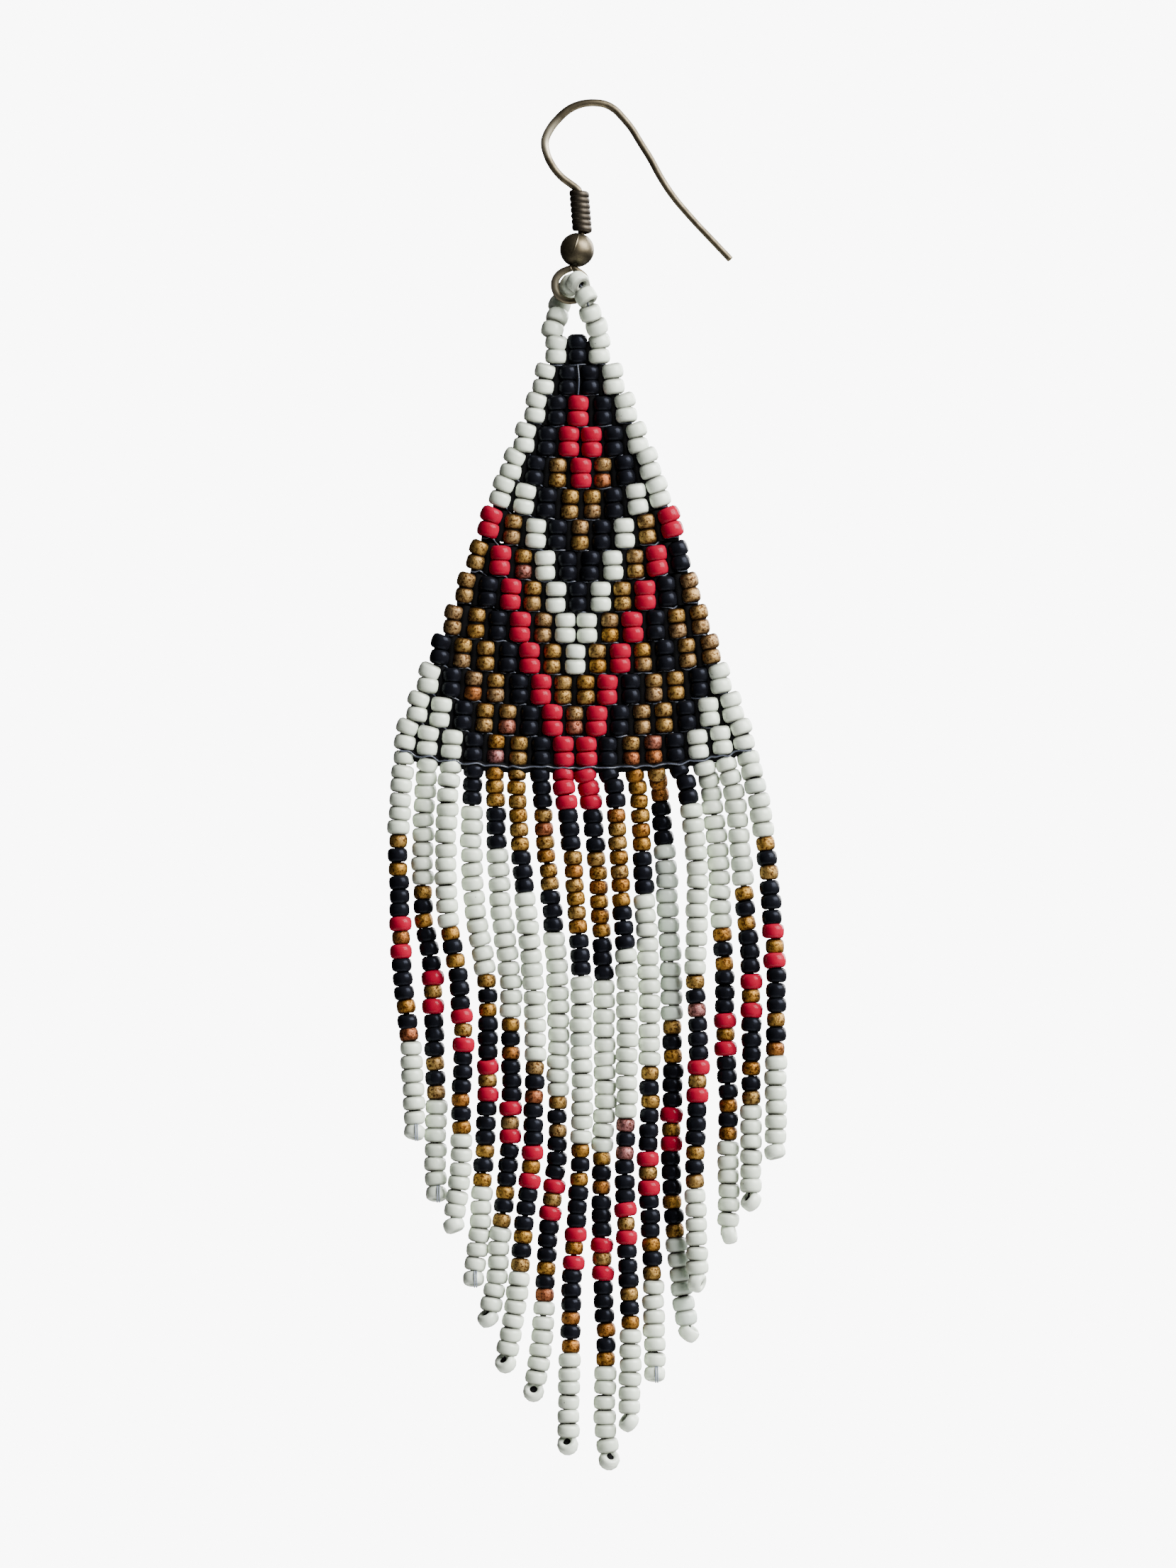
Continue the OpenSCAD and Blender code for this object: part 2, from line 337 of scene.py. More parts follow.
work = bmesh.new()
open_turn = math.asin(bore_r / (ball_d / 2))
profile = [
    (ball_d / 2 * math.sin(a), ball_d / 2 * math.cos(a))
    for a in np.linspace(open_turn, math.pi - open_turn, ball_rings)
]
rings = [
    [
        work.verts.new(Vector((r * math.cos(a), r * math.sin(a), h)) * MM)
        for a in np.linspace(0, 2 * math.pi, ball_sides, endpoint=False)
    ]
    for r, h in profile
]
for ring, after in zip(rings, rings[1:] + rings[:1]):
    for k in range(ball_sides):
        n = (k + 1) % ball_sides
        work.faces.new((ring[k], ring[n], after[n], after[k]))
place = Matrix.Translation(Vector((ball_centre[0], 0, ball_centre[1])) * MM)
bmesh.ops.transform(work, matrix=place @ Matrix.Rotation(math.atan2(*lean), 4, "Y"), verts=work.verts)
ball = mesh_object("round_ball", work)

# The same plate, a little duller, with the solder seam as a fine raised line where a slanted plane cuts
# the ball. The seam fades out downwards, where it was polished off. Towards the foot the colour is
# darkened, as painted shade.
seam_shift = 0.45
seam_across = (0.94, 0.1, -0.34)
seam_half = 0.09
seam_height = 0.05
seam_bronze = bronze.copy()
seam_bronze.name = "antiqued_bronze_plate_with_seam"
tree = seam_bronze.node_tree
shader = tree.nodes["Principled BSDF"]
tree.nodes["shine"].inputs["To Min"].default_value = 0.5
tree.nodes["shine"].inputs["To Max"].default_value = 0.4
spot = add(tree, "ShaderNodeTexCoord").outputs["Object"]
offset = add(tree, "ShaderNodeVectorMath", {
    0: spot, 1: ((ball_centre[0] - seam_shift) * MM, 0.0, ball_centre[1] * MM),
}, operation="SUBTRACT")
depth = add(tree, "ShaderNodeVectorMath", {
    0: offset.outputs[0], 1: seam_across,
}, operation="DOT_PRODUCT")
away = add(tree, "ShaderNodeMath", {0: depth.outputs["Value"]}, operation="ABSOLUTE")
line = add(tree, "ShaderNodeMapRange", {
    "Value": away.outputs[0], "From Min": 0.0, "From Max": seam_half * MM, "To Min": 1.0, "To Max": 0.0,
})
upright = add(tree, "ShaderNodeSeparateXYZ", {0: offset.outputs[0]})
upper = add(tree, "ShaderNodeMapRange", {
    "Value": upright.outputs["Z"], "From Min": -0.7 * MM, "From Max": 0.5 * MM,
})
shown = add(tree, "ShaderNodeMath", {
    0: line.outputs["Result"], 1: upper.outputs["Result"],
}, operation="MULTIPLY")
ridge = add(tree, "ShaderNodeBump", {
    "Height": shown.outputs[0], "Strength": 0.7, "Distance": seam_height * MM,
    "Normal": next(n for n in tree.nodes if n.type == "BUMP").outputs["Normal"],
})
tree.links.new(ridge.outputs["Normal"], shader.inputs["Normal"])
# Painted shade: the colour darkens towards the foot of the ball
foot_shade = add(tree, "ShaderNodeMapRange", {
    "Value": upright.outputs["Z"], "From Min": -1.4 * MM, "From Max": 0.0, "To Min": 0.18, "To Max": 1.0,
})
shaded = add(tree, "ShaderNodeVectorMath", {
    0: shader.inputs["Base Color"].links[0].from_socket, "Scale": foot_shade.outputs["Result"],
}, operation="SCALE")
tree.links.new(shaded.outputs[0], shader.inputs["Base Color"])
ball.data.materials.append(seam_bronze)
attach(ball, "hook")
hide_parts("ball")

# Top loop: nine ivory seed beads on the panel's own thread, strung from the left top stack, behind the
# eye, forward through it and down to the right top stack. The beads lie loose, so each has its own tilt.
bead_w = 2.16
bead_length = 1.34
thread_w = 0.17
bead_sides = 12
loop_stretch = 1.14

# Half a bead's section, as radius and height in shares of the bead's: the hole, the round rim and the side
bead_profile = [(0.38, 0.86), (0.68, 1.0), (0.91, 0.77), (1.0, 0.32)]
work = bmesh.new()
outline = bead_profile + [(r, -h) for r, h in reversed(bead_profile)]
rings = [
    [
        work.verts.new((r * math.cos(a), r * math.sin(a), h))
        for a in np.linspace(0, 2 * math.pi, bead_sides, endpoint=False)
    ]
    for r, h in outline
]
for ring, after in zip(rings, rings[1:] + rings[:1]):
    for k in range(bead_sides):
        n = (k + 1) % bead_sides
        work.faces.new((ring[k], ring[n], after[n], after[k]))
seed_bead = mesh_object("seed_bead_pattern", work)

# How near each ring of the bead is to its rims, from 0 round the side to 1, for the painted shade
# where the beads meet and the gold coat's wear
side_end = bead_profile[-1][1]
rim = seed_bead.data.attributes.new("rim", "FLOAT", "POINT")
for vertex, mark in zip(seed_bead.data.vertices, rim.data):
    mark.value = min(max((abs(vertex.co.z) - side_end) / (1 - side_end), 0), 1)

# One tree strings every piece of beadwork. Its mesh has a vertex for each bead, with the bead's axis,
# size, glass and shade, and a run of edges for each stretch of thread.
stringing = bpy.data.node_groups.new("stringing", "GeometryNodeTree")
for name, kind in (
    ("Geometry", "NodeSocketGeometry"), ("Seed Bead", "NodeSocketObject"), ("Bead Width", "NodeSocketFloat"),
    ("Bead Length", "NodeSocketFloat"), ("Thread Width", "NodeSocketFloat"), ("Ivory", "NodeSocketMaterial"),
    ("Black", "NodeSocketMaterial"), ("Red", "NodeSocketMaterial"), ("Gold", "NodeSocketMaterial"),
    ("Thread", "NodeSocketMaterial"),
):
    stringing.interface.new_socket(name, in_out="INPUT", socket_type=kind)
stringing.interface.new_socket("Geometry", in_out="OUTPUT", socket_type="NodeSocketGeometry")
given = add(stringing, "NodeGroupInput").outputs
is_bead = add(stringing, "GeometryNodeInputNamedAttribute", {"Name": "is_bead"}, data_type="BOOLEAN")
axis = add(stringing, "GeometryNodeInputNamedAttribute", {"Name": "axis"}, data_type="FLOAT_VECTOR")
size = add(stringing, "GeometryNodeInputNamedAttribute", {"Name": "size"}, data_type="FLOAT_VECTOR")
glass = add(stringing, "GeometryNodeInputNamedAttribute", {"Name": "glass"}, data_type="INT")
turned = add(stringing, "FunctionNodeAlignRotationToVector", {"Vector": axis.outputs["Attribute"]}, axis="Z")
usual = add(stringing, "ShaderNodeCombineXYZ", {
    "X": given["Bead Width"], "Y": given["Bead Width"], "Z": given["Bead Length"],
})
full = add(stringing, "ShaderNodeVectorMath", {
    0: usual.outputs[0], 1: size.outputs["Attribute"],
}, operation="MULTIPLY")
half = add(stringing, "ShaderNodeVectorMath", {0: full.outputs[0], "Scale": 0.5}, operation="SCALE")
pattern = add(stringing, "GeometryNodeObjectInfo", {"Object": given["Seed Bead"]})
beads = add(stringing, "GeometryNodeInstanceOnPoints", {
    "Points": given["Geometry"], "Selection": is_bead.outputs["Attribute"],
    "Instance": pattern.outputs["Geometry"], "Rotation": turned.outputs["Rotation"], "Scale": half.outputs[0],
})
dressed = add(stringing, "GeometryNodeRealizeInstances", {"Geometry": beads.outputs["Instances"]})
for number, name in enumerate(("Ivory", "Black", "Red", "Gold")):
    chosen = add(stringing, "FunctionNodeCompare", {
        2: glass.outputs["Attribute"], 3: number,
    }, data_type="INT", operation="EQUAL")
    dressed = add(stringing, "GeometryNodeSetMaterial", {
        "Geometry": dressed.outputs["Geometry"], "Selection": chosen.outputs[0], "Material": given[name],
    })
run = add(stringing, "GeometryNodeMeshToCurve", {"Mesh": given["Geometry"]})
thick = add(stringing, "ShaderNodeSeparateXYZ", {0: size.outputs["Attribute"]})
half_thread = add(stringing, "ShaderNodeMath", {0: given["Thread Width"], 1: 0.5}, operation="MULTIPLY")
round_thread = add(stringing, "GeometryNodeCurvePrimitiveCircle", {
    "Resolution": 8, "Radius": half_thread.outputs[0],
})
yarn = add(stringing, "GeometryNodeCurveToMesh", {
    "Curve": run.outputs["Curve"], "Profile Curve": round_thread.outputs["Curve"],
    "Scale": thick.outputs["X"], "Fill Caps": True,
})
soft = add(stringing, "GeometryNodeSetShadeSmooth", {"Geometry": yarn.outputs["Mesh"]})
waxed = add(stringing, "GeometryNodeSetMaterial", {
    "Geometry": soft.outputs["Geometry"], "Material": given["Thread"],
})
joined = add(stringing, "GeometryNodeJoinGeometry", {0: waxed.outputs["Geometry"]})
stringing.links.new(dressed.outputs["Geometry"], joined.inputs[0])
add(stringing, "NodeGroupOutput", {0: joined.outputs["Geometry"]})

# Opaque ivory glass: seed beads cut from a drawn glass tube and tumbled in a kiln until the rims round
# over. That gives an even, slightly grey white with a satin gloss, and here and there a black speck.
# The shade picks each bead's lot, and past 1 it means that no painted shade darkens the rims. Round
# the rims, where the beads meet, the colour is darkened as painted shade.
ivory, tree, shader = start_material("opaque_ivory_glass", 0.0, 0.3)
shader.inputs["IOR"].default_value = 1.5
spot = add(tree, "ShaderNodeTexCoord").outputs["Object"]
cloud = add(tree, "ShaderNodeTexNoise", {"Vector": spot, "Scale": 1 / (1.5 * MM), "Detail": 3.0})
base = ramp(tree, cloud.outputs["Fac"], [(0.3, "dfe8d8"), (0.7, "ebf3e2")])
shade = add(tree, "ShaderNodeAttribute", attribute_name="shade")
# Each bead's lot, and at the lowest stop the painted shadow on the string that hangs furthest back
lot_and_shadow = ramp(tree, shade.outputs["Fac"], [(0.1, "e4e8ea"), (0.3, "eef0ec"), (0.6, "f8f9f6"), (1.0, "ffffff")])
toned = add(tree, "ShaderNodeVectorMath", {0: base, 1: lot_and_shadow}, operation="MULTIPLY")
rim = add(tree, "ShaderNodeAttribute", attribute_name="rim")
# Painted shade round the rims, where the beads meet, left off the end beads
painted_rim_shade = add(tree, "ShaderNodeMapRange", {
    "Value": rim.outputs["Fac"], "From Min": 0.4, "From Max": 1.0, "To Min": 0.0, "To Max": 0.9,
})
end_bead_unshaded = add(tree, "ShaderNodeMapRange", {
    "Value": shade.outputs["Fac"], "From Min": 1.0, "From Max": 1.4, "To Min": 1.0, "To Max": 0.2,
})
rim_shade_left = add(tree, "ShaderNodeMath", {
    0: painted_rim_shade.outputs["Result"], 1: end_bead_unshaded.outputs["Result"],
}, operation="MULTIPLY")
rim_darkened = add(tree, "ShaderNodeMix", {
    0: rim_shade_left.outputs[0], 6: toned.outputs[0], 7: srgb("66655b"),
}, data_type="RGBA")
specks = add(tree, "ShaderNodeTexVoronoi", {"Vector": spot, "Scale": 1 / (2.2 * MM)})
dot = add(tree, "ShaderNodeMapRange", {
    "Value": specks.outputs["Distance"], "From Min": 0.02, "From Max": 0.035, "To Min": 0.75, "To Max": 0.0,
})
spotted = add(tree, "ShaderNodeMix", {
    0: dot.outputs["Result"], 6: rim_darkened.outputs[2], 7: srgb("2a2826"),
}, data_type="RGBA")
tree.links.new(spotted.outputs[2], shader.inputs["Base Color"])

# Waxed nylon beading thread: twisted filaments, dyed slate blue. A single thread is waxy, with light
# glints. Its colour is painted by the girth: a thin thread is painted light, as in full light, and the
# thick bundles packed between the beads are painted near black, as shade, and made matt. The
# real twist is too fine to show, so its ridges are drawn a few times coarser.
thread, tree, shader = start_material("waxed_nylon_thread", 0.0, 0.38)
shade = add(tree, "ShaderNodeAttribute", attribute_name="shade")
# Painted light and shade: thin threads light, thick packed ones near black
dye_and_shade = ramp(tree, shade.outputs["Fac"], [(0.15, "020203"), (0.6, "3c404c"), (1.0, "8d94a4")])
tree.links.new(dye_and_shade, shader.inputs["Base Color"])
for socket, matt, waxy in (("Roughness", 0.9, 0.25), ("Specular IOR Level", 0.12, 0.5)):
    packed = add(tree, "ShaderNodeMapRange", {
        "Value": shade.outputs["Fac"], "From Max": 0.6, "To Min": matt, "To Max": waxy,
    })
    tree.links.new(packed.outputs["Result"], shader.inputs[socket])
spot = add(tree, "ShaderNodeTexCoord").outputs["Object"]
twist = add(tree, "ShaderNodeTexWave", {
    "Vector": spot, "Scale": 0.35 / (0.12 * MM), "Distortion": 1.0,
}, bands_direction="DIAGONAL")
ply = add(tree, "ShaderNodeBump", {
    "Height": twist.outputs["Fac"], "Strength": 0.4, "Distance": 0.02 * MM,
})
tree.links.new(ply.outputs["Normal"], shader.inputs["Normal"])

finishes = {"Ivory": ivory, "Thread": thread}
glass_order = "WBRG"
layer_types = {"BOOLEAN": bool, "INT": np.int32}

# A thread's girth is a multiple of the thread's width, and up to this girth it lies in full light; a
# thicker one's colour is painted darker, as shade
lit_girth = 0.75


def string_beads(name, beads, threads):
    """Strings beads of (centre, axis, glass letter, size, shade) and threads of (points, girth), in mm."""
    points = [centre for centre, *rest in beads]
    edges = []
    girths = []
    for route, girth in threads:
        first = len(points)
        points.extend(route)
        girths.extend([girth] * len(route))
        edges.extend((k, k + 1) for k in range(first, first + len(route) - 1))
    mesh = bpy.data.meshes.new(name)
    mesh.from_pydata([Vector(p) * MM for p in points], edges, [])
    spare = len(points) - len(beads)
    sizes = [tuple(b[3]) for b in beads] + [(girth, girth, girth) for girth in girths]
    shades = [float(b[4]) for b in beads] + [min(1.0, lit_girth / girth) ** 2 for girth in girths]
    for label, kind, key, values in (
        ("is_bead", "BOOLEAN", "value", [True] * len(beads) + [False] * spare),
        ("axis", "FLOAT_VECTOR", "vector", [tuple(b[1]) for b in beads] + [(0.0, 0.0, 1.0)] * spare),
        ("glass", "INT", "value", [glass_order.index(b[2]) for b in beads] + [0] * spare),
        ("size", "FLOAT_VECTOR", "vector", sizes),
        ("shade", "FLOAT", "value", shades),
    ):
        layer = mesh.attributes.new(label, kind, "POINT")
        layer.data.foreach_set(key, np.asarray(values, dtype=layer_types.get(kind, np.float32)).ravel())
    return grow(name, mesh, stringing, {
        "Seed Bead": seed_bead, "Bead Width": bead_w * MM, "Bead Length": bead_length * MM,
        "Thread Width": thread_w * MM, **finishes,
    })


# Middle of each bead, and the way its hole runs
loop_beads = [
    ((-3.68, 0.1, -21.60), (0.25, 0.15, 1.0)),
    ((-3.22, 0.5, -20.38), (0.25, 0.5, 1.0)),
    ((-3.0, 1.5, -19.15), (0.4, 0.3, 1.0)),
    ((-2.5, 1.55, -17.95), (0.5, -0.5, 0.8)),
    ((-1.85, 0.2, -17.25), (0.45, -0.9, 0.1)),
    ((-1.2, -1.23, -17.1), (0.57, -0.65, -0.51)),
    ((-0.44, -1.5, -18.5), (0.55, -0.25, -0.8)),
    ((-0.03, -1.25, -20.07), (0.3, 0.2, -0.93)),
    ((0.6, -0.6, -21.34), (0.3, 0.35, -0.88)),
]
chance = np.random.default_rng(11)
beads = [
    (centre, unit(np.array(axis)), "W", (1.0, 1.0, loop_stretch), chance.uniform(0.5, 1))
    for centre, axis in loop_beads
]
loop_ends = [(-3.45, 0.0, -22.4)], [(0.9, 0.0, -22.4)]
loop_thread = smooth(loop_ends[0] + [centre for centre, axis in loop_beads] + loop_ends[1], 5)

# Where a hole shows, the passes of thread fill it to this far from the bead's middle, drawn thick and
# painted near black as the shade in the hole
filled = 0.4
filling_shade_girth = 4.4
shaded_fillings = [
    ([centre - filled * axis, centre + filled * axis], filling_shade_girth) for centre, axis, *rest in beads
]
loop = string_beads("loop_of_beads", beads, [(loop_thread, 1.0)] + shaded_fillings)
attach(loop, "drop")
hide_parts("bead_loop")

# Woven panel: brick stitch, worked down from three stacks to sixteen, each a stack of two seed beads.
# The rows hang a little curved, their ends higher by the lift, and the end stacks lean out. The middle
# of the rows bows from side to side, in a wave of sixteen rows. Thread shows between.
column_pitch = 2.165
row_pitch = 2.99
row_count = 14
first_row_z = -23.5
row_lift = [0, 0.1, 0.3, 0.4, 0.9, 1.2, 1.2, 1.0, 0.9, 0.8, 0.9, 1.1, 1.3, 1.6]
lift_power = 2.8
lean_share = 0.55
panel_x = -1.25
panel_bow = 0.3
bow_rows = 16
bow_top_row = 5
first_row_tight = 0.96
chart = [
    "WBW", "WBBW", "WBRBW", "WBRRBW", "WBGRGBW", "WWBGGBWW", "RGWBGBWGR", "GRGWBBWGRB", "GBRGWBWGRBG",
    "GGBRGWWGRBGG", "BGGBRGWGRGBGG", "WBGGBRGGRBGGBW", "WWBGGBRGRBGGBWW", "WWWBGGBRRBGGBWWW",
]

# Width and length of each colour's beads as a share of the ivory one's: each colour is a stock of its
# own, and the black and the gold ones are narrower, the red ones a little larger
glass_size = {"W": (1.0, 1.0), "B": (0.91, 0.99), "R": (1.03, 1.03), "G": (0.85, 0.985)}

# Opaque black glass: the same tube glass, dark to the core and tumbled, with a soft bluish gloss
black, tree, shader = start_material("opaque_black_glass", 0.0, 0.27)
shader.inputs["IOR"].default_value = 1.5
shader.inputs["Specular IOR Level"].default_value = 0.08
shader.inputs["Specular Tint"].default_value = srgb("cdd6f4")
spot = add(tree, "ShaderNodeTexCoord").outputs["Object"]
cloud = add(tree, "ShaderNodeTexNoise", {"Vector": spot, "Scale": 1 / (0.8 * MM), "Detail": 3.0})
dark = ramp(tree, cloud.outputs["Fac"], [(0.3, "0a0a0d"), (0.7, "111217")])
tree.links.new(dark, shader.inputs["Base Color"])

# Opaque red glass: selenium red, fire polished, even in colour, with a wet gloss
red, tree, shader = start_material("opaque_red_glass", 0.0, 0.17)
shader.inputs["IOR"].default_value = 1.5
shader.inputs["Specular IOR Level"].default_value = 0.075
spot = add(tree, "ShaderNodeTexCoord").outputs["Object"]
cloud = add(tree, "ShaderNodeTexNoise", {"Vector": spot, "Scale": 1 / (0.8 * MM), "Detail": 3.0})
even = ramp(tree, cloud.outputs["Fac"], [(0.3, "8c0a24"), (0.7, "980d2b")])
tree.links.new(even, shader.inputs["Base Color"])

# Metallic gold seed beads: brown glass under a baked metallic coat, from pale gold to copper, that wear
# has broken into fine flecks. The shade picks the coat's tone and the noise wears it through. Towards
# the rims the colour goes to the dark glass below: worn coat, and painted shade where the beads meet.
gold, tree, shader = start_material("worn_metallic_gold_glass", 0.95, 0.33)
spot = add(tree, "ShaderNodeTexCoord").outputs["Object"]
shade = add(tree, "ShaderNodeAttribute", attribute_name="shade")
coat = ramp(tree, shade.outputs["Fac"], [
    (0.0, "917450"), (0.3, "9c7b42"), (0.55, "a07730"), (0.75, "966427"), (0.88, "965838"), (1.0, "966260"),
])
fleck = add(tree, "ShaderNodeTexNoise", {
    "Vector": spot, "Scale": 1 / (0.3 * MM), "Detail": 5.0, "Roughness": 0.7,
})
worn = add(tree, "ShaderNodeMapRange", {
    "Value": fleck.outputs["Fac"], "From Min": 0.41, "From Max": 0.52, "To Min": 0.0, "To Max": 1.0,
})
rim = add(tree, "ShaderNodeAttribute", attribute_name="rim")
# Worn coat and painted shade towards the rims
worn_and_shaded_rim = add(tree, "ShaderNodeMapRange", {
    "Value": rim.outputs["Fac"], "From Min": 0.3, "From Max": 1.0, "To Min": 1.0, "To Max": 0.0,
})
kept = add(tree, "ShaderNodeMath", {
    0: worn.outputs["Result"], 1: worn_and_shaded_rim.outputs["Result"],
}, operation="MULTIPLY")
under = add(tree, "ShaderNodeVectorMath", {0: coat, 1: (0.16, 0.1, 0.055)}, operation="MULTIPLY")
mixed = add(tree, "ShaderNodeMix", {0: kept.outputs[0], 6: under.outputs[0], 7: coat}, data_type="RGBA")
tree.links.new(mixed.outputs[2], shader.inputs["Base Color"])
dull = add(tree, "ShaderNodeMapRange", {"Value": worn.outputs["Result"], "To Min": 0.6, "To Max": 0.47})
tree.links.new(dull.outputs["Result"], shader.inputs["Roughness"])
crust = add(tree, "ShaderNodeBump", {
    "Height": fleck.outputs["Fac"], "Strength": 1.0, "Distance": 0.07 * MM,
})
tree.links.new(crust.outputs["Normal"], shader.inputs["Normal"])
finishes.update({"Black": black, "Red": red, "Gold": gold})


def row_middle(n):
    """Returns the x of the middle of row n."""
    return panel_x + panel_bow * math.cos(2 * math.pi * (n - bow_top_row) / bow_rows)


def stack(n, i):
    """Returns the middle of stack i of row n, and the way it leans, in mm."""
    reach = (n + 1) / 2 * column_pitch * (first_row_tight if n == 1 else 1)
    across = 2 * i / (n + 1) - 1
    lift = row_lift[n - 1]
    z = first_row_z - (n - 1) * row_pitch + lift * abs(across) ** lift_power
    slope = lift * lift_power * math.copysign(abs(across) ** (lift_power - 1), across) / reach
    return np.array([row_middle(n) + across * reach, 0.0, z]), unit(np.array([-slope * lean_share, 0.0, 1.0]))


chance = np.random.default_rng(23)

# How far the upper and the lower bead of a row's end stacks tip outwards
edge_tilt = {1: 0.2, -1: 0.08}

# Share of a row's height that each of its two beads takes; the weaving thread lies in the rest
stack_share = 0.48

# How loosely the beads lie, and how much their sizes vary; most gold beads are of the paler half
stack_play = 0.05
bead_play = 0.03
axis_play = 0.05
width_play = 0.012
length_play = 0.01
usual_length = 1.01
pale_gold_share = 0.75
beads = []
for n in range(1, row_count + 1):
    for i, letter in enumerate(chart[n - 1]):
        middle, up = stack(n, i)
        middle = middle + chance.normal(0, stack_play) * np.array([1, 0, 0])
        width, length = glass_size[letter]
        outer = (i == 0) - (i == n + 1)
        for side in (1, -1):
            centre = middle + up * side * stack_share * row_pitch / 2 + chance.normal(0, bead_play, 3)
            axis = unit(up + chance.normal(0, axis_play, 3) + np.array([outer * edge_tilt[side], 0, 0]))
            scale = width * chance.normal(1, width_play)
            tall = length * chance.normal(usual_length, length_play) * stack_share * row_pitch / bead_length
            pale = chance.random() < pale_gold_share
            shade = chance.uniform(0, 0.4) if pale and letter == "G" else chance.uniform(0.4, 1)
            beads.append((centre, axis, letter, (scale, scale, tall), shade))

# The thread's path under a stack, as steps along the row in column pitches and depths. Under the last
# row it runs further forward and lower, over the beads' faces.
under_stack = ((-0.5, -0.1), (-0.25, -0.3), (0.0, -0.36), (0.25, -0.3))
last_forward = 0.62
last_lower = 0.06
thread_play = 0.05

# Each row has a single thread in front and behind. The many passes of thread that fill the beadwork
# from inside are drawn as thick bundles, painted near black as the shade in the gaps: one along the row,
# one up each stack's holes and one between the stacks, where only shade lies between the beads.
single_girth = 0.95
to_back = np.array([1, -1, 1])
back_shift = np.array([0, 0.1, 0])
row_shade_bundle_shift = np.array([0, 0.6, -0.1])
row_shade_bundle_girth = 5.2
stack_shade_bundle_reach = 0.9
stack_shade_bundle_girth = 7.7
gap_shade_shift = np.array([0, 0.15, 0])
gap_shade_girth = 6.6
first_gap_shade_top = 0.5

threads = []
for n in range(1, row_count + 1):
    last = n == row_count
    route = []
    for i in range(n + 2):
        middle, up = stack(n, i)
        for step, depth in under_stack[i == 0:]:
            point = middle + np.array([step * column_pitch, depth - last_forward * last, 0])
            point = point - up * (row_pitch / 2 + last_lower * last)
            route.append(point + chance.normal(0, thread_play, 3))
    threads.append((smooth(route, 3), single_girth))
    # Thick bundles, painted near black as the shade in the gaps
    threads.append((smooth([point + row_shade_bundle_shift for point in route], 2), row_shade_bundle_girth))
    threads.append((smooth([point * to_back + back_shift for point in route], 2), single_girth))
    for i in range(n + 2):
        middle, up = stack(n, i)
        reach = stack_shade_bundle_reach * row_pitch / 2
        threads.append(([middle + up * way * reach for way in (-1, 1)], stack_shade_bundle_girth))
    for i in range(n + 1):
        pair = [stack(n, i), stack(n, i + 1)]
        middle = (pair[0][0] + pair[1][0]) / 2 + gap_shade_shift
        up = unit(pair[0][1] + pair[1][1])
        top = first_gap_shade_top if n == 1 else 1
        threads.append(([middle + up * share * row_pitch / 2 for share in (-1, 0, top)], gap_shade_girth))

# One more thread runs down the face between the two middle stacks of the second row
upright_thread = [(-1.25, -0.7, -25.0), (-1.12, -0.85, -26.4), (-1.2, -0.7, -27.9)]
threads.append((smooth(upright_thread, 4), 1.0))
panel = string_beads("woven_bead_panel", beads, threads)
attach(panel, "drop")
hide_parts("woven_panel")

# Fringe: sixteen strings of seed beads, each a doubled thread that runs down from a stack of the last
# row, round the sideways bead at the bottom and back up. They hang limp, a little askew.
stack_h = 2 * bead_length + 0.05
bead_gap = 0.18

# Each string's x at these heights, and last the middle (x, z) of its end bead, in mm. The depth is how
# far back it hangs, and the shift how far to the right of its stack it starts.
strand_heights = [-66, -72, -78, -84, -90, -96, -102, -108, -114, -120, -126]
strands = [
    [[-18.3, -18.6, -18.4, -18.2, -17.5, -17.0], [-17.0, -99.1]],
    [[-16.0, -16.2, -16.1, -15.3, -15.1, -14.9, -15.0], [-14.9, -105.1]],
    [[-13.7, -14.0, -13.8, -12.8, -12.3, -12.5, -12.5], [-13.2, -108.1]],
    [[-11.4, -11.5, -11.1, -10.1, -9.9, -10.0, -10.3, -10.7], [-11.3, -113.3]],
    [[-9.25, -9.0, -8.6, -7.8, -7.7, -7.7, -7.9, -8.6, -9.2], [-9.9, -117.1]],
    [[-7.1, -6.75, -6.2, -5.6, -5.3, -5.5, -5.7, -6.4, -7.0], [-8.2, -121.4]],
    [[-4.7, -4.3, -3.7, -3.2, -3.1, -3.2, -3.3, -4.0, -4.4, -4.8], [-5.5, -124.2]],
    [[-2.5, -1.8, -1.3, -0.9, -0.9, -0.8, -1.0, -1.4, -1.8, -2.0, -2.1], [-2.2, -129.3]],
    [[-0.1, 0.5, 0.9, 1.3, 1.3, 1.4, 1.1, 1.1, 1.2, 1.5, 1.4], [1.8, -130.8]],
    [[2.3, 2.7, 3.1, 3.5, 3.5, 3.5, 3.3, 3.4, 3.7, 3.9], [3.7, -127.1]],
    [[4.6, 5.0, 5.3, 5.7, 5.7, 5.7, 5.6, 5.8, 6.0, 6.2], [6.2, -122.5]],
    [[6.65, 7.2, 7.5, 7.8, 7.9, 7.9, 7.8, 8.1, 8.8], [9.5, -118.6]],
    [[9.4, 10.2, 10.3, 10.1, 10.4, 10.3, 10.1, 10.2], [10.3, -113.6]],
    [[11.65, 12.3, 12.6, 13.0, 13.0, 13.3, 13.3], [13.4, -109.0]],
    [[13.8, 14.5, 15.0, 15.5, 15.5, 15.5, 15.5], [15.5, -105.8]],
    [[16.0, 17.0, 17.5, 17.9, 17.9, 17.9], [17.8, -101.0]],
]
strand_depth = [-0.2, 0.6, -0.4, 0.3, 0.1, -0.3, 0.2, -0.3, 0.3, -0.3, 0.3, 1.5, -0.3, 0.7, 0.0, -0.4]
strand_shift = [-0.25, -0.2, -0.1, 0, -0.15, -0.2, -0.1, -0.05, -0.1, 0.05, 0.35, 0.3, 0.35, 0.6, 0.55, 0.55]
whites = 12 * "W"
